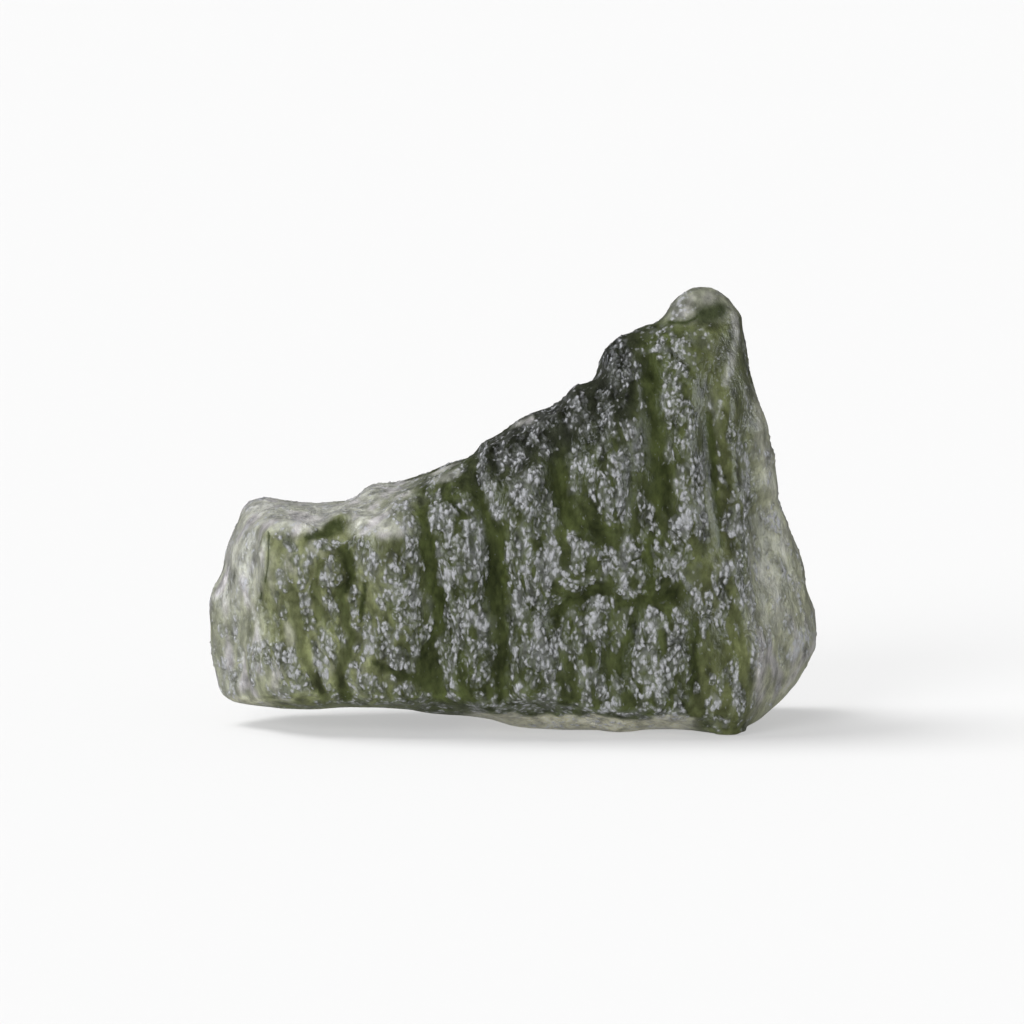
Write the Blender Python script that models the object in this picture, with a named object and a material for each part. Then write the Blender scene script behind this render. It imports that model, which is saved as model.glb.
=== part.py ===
"""Moldavite: a small rough piece of natural green glass, in one solid.

It stands on its long lower edge. The picture side is a broad flowed face (-Y), low at the left
end, rising along a slope to a knob at the upper right. A ledge runs along the top left, and a
pale chamfer along the bottom leads back to the flat spot that the piece rests on.

The body is a loft: each section goes from the rim of the front face over the widest outline to
the rim of the back face. The grooves, strips, pits and flow ridges are then raised or sunk along
the surface. Every length below is in millimetres.
"""

import math

import bmesh
import bpy
from mathutils import Vector, noise

NAME = "moldavite"
MM = 0.001

# How finely the surface is divided: along the length, up the height and through the thickness.
ALONG = 58
UPWARD = 24
THROUGH = 12

# How far the middle of each broad face stands out from its rim.
FRONT_BULGE = 1.2
BACK_BULGE = 0.9

# Relief of the whole skin.
LUMP_HEIGHT = 0.30
LUMP_SIZE = 4.2
RIDGE_HEIGHT = 0.34
RIDGE_PITCH = 1.5
RIDGE_STRETCH = 3.2
CUP_DEPTH = 0.14
CUP_PITCH = 1.15
OUTLINE_SHARE = 0.2

# Share of the relief left on the underside, so that the flat spot stays flat.
UNDERSIDE_SHARE = 0.3

GLASS_COLOR = (0.20, 0.26, 0.09, 1.0)
GLASS_ROUGHNESS = 0.22
GLASS_IOR = 1.49

# Sections round the piece, each as (front rim, widest outline, back rim), where a point is
# (to the right, back from the front, up). They go up the left end, along the top, down the
# right side and back along the bottom.
LEFT_END = [
    ((-8.3, 1.9, 1.2), (-9.7, 3.9, 1.0), (-8.6, 6.0, 1.6)),
    ((-8.7, 2.1, 2.3), (-10.0, 3.9, 2.0), (-9.0, 6.1, 2.6)),
    ((-8.7, 2.2, 3.5), (-10.1, 3.9, 3.3), (-9.1, 6.2, 3.6)),
    ((-8.5, 1.9, 4.5), (-10.1, 4.0, 4.3), (-9.0, 6.3, 4.6)),
    ((-8.2, 1.4, 5.4), (-9.7, 4.2, 5.1), (-8.6, 6.5, 5.3)),
    ((-8.2, 1.2, 6.3), (-9.4, 4.6, 6.2), (-8.3, 6.6, 6.1)),
]
TOP_EDGE = [
    ((-8.1, 1.3, 6.9), (-8.9, 5.2, 7.2), (-7.9, 6.7, 6.7)),
    ((-7.4, 1.3, 7.2), (-7.9, 5.3, 7.4), (-7.1, 6.8, 6.8)),
    ((-6.4, 1.4, 7.3), (-6.5, 5.3, 7.25), (-6.0, 6.8, 6.7)),
    ((-5.5, 1.5, 7.6), (-5.5, 5.3, 7.35), (-5.2, 6.8, 6.9)),
    ((-4.7, 1.5, 7.7), (-4.7, 5.2, 8.0), (-4.5, 6.9, 7.2)),
    ((-3.7, 1.5, 8.1), (-3.5, 5.0, 8.05), (-3.6, 7.0, 7.4)),
    ((-2.5, 1.7, 8.7), (-2.4, 4.6, 8.6), (-2.6, 7.1, 7.7)),
    ((-1.6, 1.8, 9.2), (-1.5, 3.9, 9.0), (-1.8, 7.2, 8.0)),
    ((-1.0, 1.9, 9.7), (-1.0, 2.9, 9.7), (-1.2, 7.2, 8.3)),
    ((-0.3, 1.9, 10.0), (-0.4, 2.7, 10.0), (-0.5, 7.2, 8.7)),
    ((0.5, 1.9, 10.5), (0.4, 2.7, 10.5), (0.2, 7.1, 9.2)),
    ((1.4, 1.9, 10.9), (1.3, 2.6, 10.9), (1.0, 7.0, 9.8)),
    ((2.2, 2.0, 11.5), (2.1, 2.6, 11.5), (1.8, 6.9, 10.3)),
    ((2.9, 2.1, 12.0), (2.8, 2.7, 12.0), (2.5, 6.8, 10.8)),
    ((3.0, 2.2, 12.7), (2.9, 2.8, 12.7), (3.1, 6.6, 11.2)),
    ((3.6, 2.3, 13.2), (3.4, 3.0, 13.2), (3.6, 6.5, 11.6)),
    ((4.5, 2.4, 13.4), (4.5, 3.1, 13.5), (4.2, 6.3, 12.0)),
    ((5.2, 2.6, 13.5), (5.0, 3.4, 13.6), (4.9, 6.1, 12.5)),
    ((5.7, 2.9, 14.1), (5.5, 3.8, 14.3), (5.4, 6.0, 13.0)),
    ((6.3, 3.0, 14.3), (6.2, 4.0, 14.7), (6.1, 5.9, 13.4)),
]
RIGHT_SIDE = [
    ((6.8, 3.0, 14.1), (7.2, 4.0, 14.3), (6.7, 5.9, 13.2)),
    ((7.0, 2.8, 13.5), (7.7, 3.9, 13.4), (7.1, 6.0, 12.6)),
    ((7.2, 2.4, 12.5), (7.8, 3.8, 12.5), (7.3, 6.1, 11.6)),
    ((7.3, 2.2, 11.7), (8.0, 3.8, 11.4), (7.4, 6.2, 10.7)),
    ((7.5, 2.0, 10.7), (8.3, 3.9, 10.6), (7.6, 6.3, 9.9)),
    ((7.6, 1.9, 9.6), (8.6, 3.9, 9.6), (7.8, 6.6, 8.7)),
    ((7.8, 1.8, 7.9), (8.9, 4.0, 8.0), (8.0, 6.9, 7.3)),
    ((8.0, 1.7, 6.4), (9.3, 4.2, 6.4), (8.4, 7.2, 5.9)),
    ((8.1, 1.7, 5.2), (9.7, 4.4, 5.3), (8.8, 7.4, 4.9)),
    ((8.2, 1.7, 3.9), (10.0, 4.6, 4.1), (9.1, 7.6, 4.0)),
    ((8.2, 1.6, 2.7), (10.1, 4.6, 3.0), (9.1, 7.7, 3.0)),
    ((8.0, 1.5, 1.7), (9.8, 4.6, 1.8), (8.8, 7.7, 2.1)),
    ((7.8, 1.3, 0.9), (9.2, 4.3, 1.0), (8.4, 7.6, 1.3)),
]
BOTTOM_EDGE = [
    ((7.5, 1.2, 0.3), (8.3, 3.4, 0.3), (7.9, 7.3, 0.7)),
    ((7.2, 1.1, 0.2), (7.5, 1.7, 0.0), (7.2, 6.9, 0.1)),
    ((6.5, 1.1, 0.4), (6.8, 1.8, -0.1), (6.4, 6.7, -0.1)),
    ((5.8, 1.0, 0.5), (6.0, 2.4, 0.0), (5.6, 6.6, -0.2)),
    ((4.6, 1.0, 0.6), (4.6, 2.6, 0.0), (4.3, 6.6, -0.2)),
    ((3.6, 0.9, 0.7), (3.6, 2.4, -0.1), (3.3, 6.7, -0.2)),
    ((2.6, 0.9, 0.8), (2.5, 2.6, 0.0), (2.2, 6.7, -0.2)),
    ((1.8, 0.9, 1.0), (1.7, 2.7, 0.0), (1.4, 6.6, -0.2)),
    ((0.9, 0.8, 1.2), (0.9, 2.8, 0.0), (0.6, 6.5, -0.1)),
    ((0.1, 0.8, 1.1), (0.0, 2.9, 0.1), (-0.2, 6.4, 0.1)),
    ((-0.7, 0.9, 0.9), (-0.7, 3.0, 0.3), (-1.0, 6.3, 0.3)),
    ((-1.6, 0.9, 1.1), (-1.6, 3.2, 0.4), (-1.8, 6.2, 0.7)),
    ((-2.7, 1.0, 1.1), (-2.7, 3.2, 0.5), (-2.8, 6.1, 0.9)),
    ((-3.9, 1.1, 1.1), (-3.8, 3.2, 0.7), (-3.8, 6.0, 1.1)),
    ((-5.4, 1.2, 1.1), (-5.5, 3.4, 0.7), (-5.3, 5.9, 1.1)),
    ((-6.9, 1.5, 1.1), (-7.0, 3.4, 0.6), (-6.8, 5.9, 1.1)),
    ((-7.7, 1.7, 1.2), (-8.7, 3.6, 0.7), (-7.9, 5.9, 1.2)),
]

# Strokes on the front face, each as (height, half width, points), where a point is
# (to the right, up). A height below zero is a smooth groove, and one above zero a raised strip.
STROKES = [
    (-0.35, 0.45, [(-6.5, 5.6), (-6.6, 4.7), (-6.4, 3.7), (-6.9, 3.3), (-6.7, 2.3), (-6.5, 1.5)]),
    (-0.45, 0.50, [(-5.6, 6.7), (-5.3, 5.3), (-5.6, 4.4), (-5.3, 3.3), (-5.6, 2.0), (-5.5, 1.3)]),
    (-0.25, 0.40, [(-5.0, 5.3), (-5.0, 4.1)]),
    (-0.45, 0.50, [(-3.0, 8.7), (-2.8, 6.5), (-2.5, 4.3), (-2.5, 3.3), (-2.7, 2.6)]),
    (-0.40, 0.65, [(-2.7, 2.6), (-2.6, 1.5)]),
    (-0.30, 0.40, [(-1.4, 9.5), (-1.0, 7.9), (-0.6, 7.0)]),
    (-0.45, 0.60, [(-0.6, 7.0), (-0.5, 5.6), (-0.6, 4.5)]),
    (-0.35, 0.45, [(-0.6, 4.5), (-0.3, 3.0), (-0.4, 1.5)]),
    (-0.40, 0.60, [(1.5, 9.8), (1.7, 8.3), (2.1, 7.3), (3.2, 6.9)]),
    (-0.30, 0.45, [(3.7, 11.6), (3.9, 10.7)]),
    (-0.45, 0.75, [(4.6, 12.4), (4.8, 10.8), (4.7, 9.2), (4.4, 7.6), (4.2, 6.6)]),
    (-0.30, 0.60, [(6.6, 10.9), (6.9, 8.5), (7.0, 6.2)]),
    (-0.40, 0.45, [(1.3, 4.1), (2.1, 4.6), (3.1, 5.2)]),
    (-0.35, 0.45, [(3.2, 4.2), (4.3, 4.7), (5.3, 5.0), (5.9, 5.6)]),
    (-0.35, 0.50, [(3.6, 4.4), (3.5, 3.0), (3.4, 1.7)]),
    (-0.25, 0.45, [(7.1, 4.7), (7.2, 2.2)]),
    (-0.55, 0.50, [(-6.1, 7.0), (-5.6, 7.2)]),
    (0.25, 0.60, [(5.3, 13.1), (5.4, 11.0)]),
    (0.25, 0.55, [(5.7, 10.3), (6.0, 8.7), (6.1, 6.9)]),
    (0.25, 0.60, [(3.3, 9.2), (3.4, 7.4)]),
    (0.30, 0.85, [(5.1, 4.2), (5.3, 2.9), (5.2, 1.6)]),
    (0.20, 0.60, [(0.5, 9.0), (0.4, 6.5), (0.6, 3.5), (0.4, 2.0)]),
    (0.20, 0.70, [(-3.9, 6.6), (-4.0, 3.6)]),
    (0.20, 0.70, [(-1.6, 6.4), (-1.5, 3.0)]),
    (0.25, 0.50, [(-8.0, 6.4), (-8.1, 5.4)]),
]

# The crown of the knob is a small hollow set in a raised ring.
KNOB_HOLLOW = (6.5, 13.9)
KNOB_HOLLOW_DEPTH = 0.25
KNOB_HOLLOW_RADIUS = 0.45


def clear_scene():
    for old in list(bpy.data.objects):
        bpy.data.objects.remove(old, do_unlink=True)


def smooth(share):
    """0 to 1 with an easy start and end."""
    share = min(max(share, 0.0), 1.0)
    return share * share * (3.0 - 2.0 * share)


def spline(p0, p1, p2, p3, t):
    """A Catmull-Rom curve from p1 to p2."""
    return (
        p1 * 2.0
        + (p2 - p0) * t
        + (p0 * 2.0 - p1 * 5.0 + p2 * 4.0 - p3) * t**2
        + (p1 * 3.0 - p0 - p2 * 3.0 + p3) * t**3
    ) * 0.5


def along(loop, where):
    """The point of a closed curve at a place counted in its own points."""
    count = len(loop)
    first = math.floor(where)
    near = [loop[(first + step) % count] for step in (-1, 0, 1, 2)]
    return spline(*near, where - first)


def evenly_spaced(loop, start, stop, parts):
    """The places between two points of the curve that cut its length into equal parts."""
    fine = 400
    places = [start + (stop - start) * i / fine for i in range(fine + 1)]
    points = [along(loop, place) for place in places]
    run = [0.0]
    for a, b in zip(points, points[1:]):
        run.append(run[-1] + (b - a).length)
    found = []
    i = 0
    for part in range(parts + 1):
        target = run[-1] * part / parts
        while i < fine - 1 and run[i + 1] < target:
            i += 1
        share = (target - run[i]) / (run[i + 1] - run[i])
        found.append(places[i] + (places[i + 1] - places[i]) * min(share, 1.0))
    return found


class Body:
    """The loft: a patch for each broad face, and a band of sections between their rims."""

    def __init__(self):
        rows = LEFT_END + TOP_EDGE + RIGHT_SIDE + BOTTOM_EDGE
        self.front = [Vector(row[0]) for row in rows]
        self.outline = [Vector(row[1]) for row in rows]
        self.back = [Vector(row[2]) for row in rows]
        top = len(LEFT_END)
        right = top + len(TOP_EDGE)
        bottom = right + len(RIGHT_SIDE)
        self.left_places = evenly_spaced(self.outline, 0, top, UPWARD)
        self.top_places = evenly_spaced(self.outline, top, right, ALONG)
        self.right_places = evenly_spaced(self.outline, right, bottom, UPWARD)[::-1]
        self.bottom_places = evenly_spaced(self.outline, bottom, len(rows), ALONG)[::-1]

    def section(self, place, share):
        """The point at a share of the way from the front rim to the back rim."""
        front = along(self.front, place)
        widest = along(self.outline, place)
        back = along(self.back, place)
        before, after = (widest - front).length, (back - widest).length
        turn = min(max(before / (before + after), 0.25), 0.75)
        if share <= turn:
            return spline(front * 2.0 - widest, front, widest, back, share / turn)
        return spline(front, widest, back, back * 2.0 - widest, (share - turn) / (1.0 - turn))

    def patch(self, rim, i, j, bulge):
        """A point of a broad face, blended from the four sides of its rim."""
        s, w = i / ALONG, j / UPWARD
        low, high = along(rim, self.bottom_places[i]), along(rim, self.top_places[i])
        left, right = along(rim, self.left_places[j]), along(rim, self.right_places[j])
        corners = [along(rim, places[k]) for places in (self.bottom_places, self.top_places) for k in (0, ALONG)]
        across = low.lerp(high, w) + left.lerp(right, s)
        point = across - corners[0].lerp(corners[1], s).lerp(corners[2].lerp(corners[3], s), w)
        swell = (1.0 - (2.0 * s - 1.0) ** 4) * (1.0 - (2.0 * w - 1.0) ** 4)
        point.y += bulge * max(swell, 0.0) ** 0.7
        return point

    def point(self, i, k, j):
        """The place of the grid corner i along, k through and j up."""
        if k == 0:
            return self.patch(self.front, i, j, -FRONT_BULGE)
        if k == THROUGH:
            return self.patch(self.back, i, j, BACK_BULGE)
        if j == 0:
            place = self.bottom_places[i]
        elif j == UPWARD:
            place = self.top_places[i]
        elif i == 0:
            place = self.left_places[j]
        else:
            place = self.right_places[j]
        return self.section(place, k / THROUGH)


def divided_box():
    """A box of 1 mm cubes' corners, ALONG by THROUGH by UPWARD, with its surface in a square grid."""
    bm = bmesh.new()
    bmesh.ops.create_cube(bm, size=1.0)
    counts = (ALONG, THROUGH, UPWARD)
    for axis, parts in enumerate(counts):
        edges = [e for e in bm.edges if abs((e.verts[0].co - e.verts[1].co)[axis]) > 1e-6]
        bmesh.ops.subdivide_edges(bm, edges=edges, cuts=parts - 1, use_grid_fill=True)
    for vert in bm.verts:
        vert.co = Vector([(vert.co[axis] + 0.5) * counts[axis] for axis in range(3)])
    return bm


def distance_to(x, z, points):
    """How far a place on the front face is from a line through the points."""
    nearest = math.inf
    for (ax, az), (bx, bz) in zip(points, points[1:]):
        dx, dz = bx - ax, bz - az
        share = ((x - ax) * dx + (z - az) * dz) / (dx * dx + dz * dz)
        share = min(max(share, 0.0), 1.0)
        nearest = min(nearest, math.hypot(x - ax - dx * share, z - az - dz * share))
    return nearest


def stroke_relief(point):
    """The deepest groove and the highest strip at a place on the front face."""
    groove, strip = 0.0, 0.0
    for rise, half_width, points in STROKES:
        off = distance_to(point.x, point.z, points) / (half_width * 1.5)
        height = rise * (1.0 - smooth(off))
        groove, strip = min(groove, height), max(strip, height)
    off = math.hypot(point.x - KNOB_HOLLOW[0], point.z - KNOB_HOLLOW[1]) / KNOB_HOLLOW_RADIUS
    return groove + strip - KNOB_HOLLOW_DEPTH * (1.0 - smooth(off))


def skin_relief(point):
    """Lumps, flow ridges that run up the piece, and shallow cups etched into them."""
    bend = Vector([noise.noise(point / 3.0 + Vector((9.0 * turn, 0.0, 0.0))) for turn in (1, 2, 3)]) * 0.45
    lump = noise.noise(point / LUMP_SIZE)
    flow = Vector((point.x, point.y, point.z / RIDGE_STRETCH)) / RIDGE_PITCH + bend
    ridge = 0.45 - math.hypot(noise.noise(flow), 0.16) * 2.0
    cup_place = Vector((point.x, point.y, point.z / 1.6)) / CUP_PITCH + bend
    cup = 1.0 - smooth(noise.voronoi(cup_place)[0][0] / 0.55)
    return LUMP_HEIGHT * lump + RIDGE_HEIGHT * ridge - CUP_DEPTH * cup


def relief_share(k, normal):
    """Less relief at the widest outline and on the underside."""
    off = abs(k / THROUGH - 0.5) * 2.0
    share = OUTLINE_SHARE + (1.0 - OUTLINE_SHARE) * smooth(off * 1.4)
    down = smooth(-normal.z * 1.5)
    return share * (1.0 - down * (1.0 - UNDERSIDE_SHARE))


def shape_body(bm):
    """Lofts the box into the body, then gives it its relief."""
    body = Body()
    layers = {}
    for vert in bm.verts:
        i, k, j = (round(value) for value in vert.co)
        layers[vert] = k
        vert.co = body.point(i, k, j)
    bm.normal_update()
    moved = {}
    for vert, k in layers.items():
        facing = smooth(-vert.normal.y * 1.6)
        height = skin_relief(vert.co) * relief_share(k, vert.normal)
        if facing > 0.0:
            height += stroke_relief(vert.co) * facing
        moved[vert] = vert.co + vert.normal * height
    for vert, place in moved.items():
        vert.co = place
        vert.co.z = max(place.z, 0.0)


def centre(bm):
    """Sets the middle of the bounding box over the origin."""
    for axis in (0, 1):
        values = [vert.co[axis] for vert in bm.verts]
        middle = (min(values) + max(values)) / 2.0
        for vert in bm.verts:
            vert.co[axis] -= middle


def glass():
    material = bpy.data.materials.new("glass")
    material.use_nodes = True
    shader = material.node_tree.nodes["Principled BSDF"]
    shader.inputs["Base Color"].default_value = GLASS_COLOR
    shader.inputs["Roughness"].default_value = GLASS_ROUGHNESS
    shader.inputs["IOR"].default_value = GLASS_IOR
    shader.inputs["Transmission Weight"].default_value = 0.6
    material.diffuse_color = GLASS_COLOR
    return material


def build():
    clear_scene()
    bm = divided_box()
    shape_body(bm)
    centre(bm)
    bmesh.ops.scale(bm, vec=(MM, MM, MM), verts=bm.verts)
    bmesh.ops.triangulate(bm, faces=bm.faces, quad_method="BEAUTY")
    bmesh.ops.recalc_face_normals(bm, faces=bm.faces)
    mesh = bpy.data.meshes.new(NAME)
    bm.to_mesh(mesh)
    bm.free()
    mesh.materials.append(glass())
    piece = bpy.data.objects.new(NAME, mesh)
    collection = bpy.data.collections.new(NAME)
    bpy.context.scene.collection.children.link(collection)
    collection.objects.link(piece)


build()
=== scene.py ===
"""The looks of the moldavite: its etched skin as a fine mesh, green glass, a pale floor and soft light.

Lengths are in metres, in the frame of the CAD model. MM turns the millimetres of the named sizes
below into metres.
"""

import math

import bpy
import numpy as np
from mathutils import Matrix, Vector, noise

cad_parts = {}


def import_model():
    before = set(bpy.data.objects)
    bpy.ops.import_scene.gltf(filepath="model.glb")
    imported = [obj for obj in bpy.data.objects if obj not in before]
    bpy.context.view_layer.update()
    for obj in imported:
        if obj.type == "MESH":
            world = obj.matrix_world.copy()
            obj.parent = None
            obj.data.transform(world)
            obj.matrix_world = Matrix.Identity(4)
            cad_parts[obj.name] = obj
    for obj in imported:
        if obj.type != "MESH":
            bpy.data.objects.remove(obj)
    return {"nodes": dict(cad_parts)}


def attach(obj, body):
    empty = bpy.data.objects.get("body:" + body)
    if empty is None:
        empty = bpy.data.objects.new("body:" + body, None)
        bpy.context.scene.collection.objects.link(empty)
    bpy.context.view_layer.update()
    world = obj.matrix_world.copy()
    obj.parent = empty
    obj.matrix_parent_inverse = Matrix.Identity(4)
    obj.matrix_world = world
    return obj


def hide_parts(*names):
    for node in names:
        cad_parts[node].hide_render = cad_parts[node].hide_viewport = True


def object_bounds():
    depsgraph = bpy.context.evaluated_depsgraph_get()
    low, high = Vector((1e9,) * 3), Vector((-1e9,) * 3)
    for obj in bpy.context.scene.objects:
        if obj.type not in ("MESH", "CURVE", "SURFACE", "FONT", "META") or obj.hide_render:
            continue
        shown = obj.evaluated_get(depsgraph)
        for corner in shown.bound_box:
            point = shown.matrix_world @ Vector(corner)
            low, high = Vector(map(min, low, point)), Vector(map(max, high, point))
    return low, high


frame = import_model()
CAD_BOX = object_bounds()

MM = 0.001
NODE = "moldavite"

# The fine mesh: how it is made dense, smoothed and thinned out again.
WELD_REACH = 1e-6
VOXEL = 0.050 * MM
EASE_FACTOR = 0.5
SMOOTH_STEPS = 40
FRONT_STEPS = 220
BROAD_STEPS = 240
FRONT_NORMAL = -0.4
FIRST_TRIANGLES = 330000
MOST_TRIANGLES = 196000

# The camera looks a little down, through a long lens.
CAMERA_RISE = math.radians(8.0)
CAMERA_AWAY = 600.0 * MM
PICTURE_WIDTH = 34.13 * MM
LOOK_AT = (0.0, 0.0, 7.16 * MM)
SENSOR_WIDTH = 36.0
CLIP_START = 0.01
CLIP_END = 20.0

# Smooth channels in the front face, as (depth, half width, points to the right and up), in mm.
CHANNELS = [
    (0.14, 0.16, [(-6.4, 6.0), (-6.6, 5.3), (-6.6, 4.8), (-6.4, 4.1), (-6.0, 3.6)]),
    (0.14, 0.22, [(-7.3, 5.0), (-7.2, 4.2), (-7.0, 3.3), (-6.8, 2.6), (-6.5, 1.9), (-6.3, 1.4)]),
    (0.20, 0.22, [
        (-5.6, 6.4), (-5.3, 5.4), (-5.7, 4.8), (-5.5, 4.1),
        (-5.3, 3.4), (-5.5, 2.8), (-5.8, 2.0), (-5.5, 1.4),
    ]),
    (0.12, 0.10, [(-4.9, 5.2), (-5.0, 4.0)]),
    (0.20, 0.20, [
        (-3.1, 8.4), (-2.9, 7.4), (-2.8, 6.3), (-2.6, 5.3),
        (-2.4, 4.6), (-2.5, 3.6), (-2.9, 2.9),
    ]),
    (0.16, 0.42, [(-2.8, 2.6), (-2.5, 1.5)]),
    (0.12, 0.18, [(-4.5, 2.6), (-3.9, 2.3), (-3.0, 1.9)]),
    (0.12, 0.12, [(-2.2, 8.8), (-2.1, 8.2), (-1.6, 7.6)]),
    (0.14, 0.20, [(-1.4, 9.2), (-1.2, 8.3), (-0.9, 7.6), (-0.6, 7.1)]),
    (0.18, 0.34, [(-0.5, 6.9), (-0.5, 5.6), (-0.5, 4.5)]),
    (0.14, 0.18, [(-0.3, 4.0), (-0.2, 3.0), (-0.3, 2.0), (-0.4, 1.3)]),
    (0.12, 0.12, [(-1.7, 3.0), (-1.6, 1.3)]),
    (0.18, 0.32, [(1.5, 9.3), (1.6, 8.3), (1.9, 7.4), (2.6, 7.0), (3.0, 6.9)]),
    (0.12, 0.20, [(3.9, 11.5), (3.9, 10.9)]),
    (0.12, 0.38, [(4.6, 12.2), (4.7, 11.2), (4.8, 10.2), (4.9, 9.2), (4.9, 8.2)]),
    (0.14, 0.20, [(4.5, 6.6), (4.6, 4.9), (4.1, 4.4), (3.9, 3.4), (3.7, 2.3)]),
    (0.04, 0.16, [(6.5, 10.7), (6.7, 8.5), (6.9, 6.4)]),
    (0.14, 0.16, [(1.4, 4.1), (1.9, 4.6), (2.7, 5.0), (3.3, 5.2)]),
    (0.14, 0.16, [(3.6, 4.6), (4.4, 4.7), (5.3, 5.0)]),
    (0.12, 0.16, [(6.0, 3.9), (6.1, 2.4), (5.9, 1.5)]),
]

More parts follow.
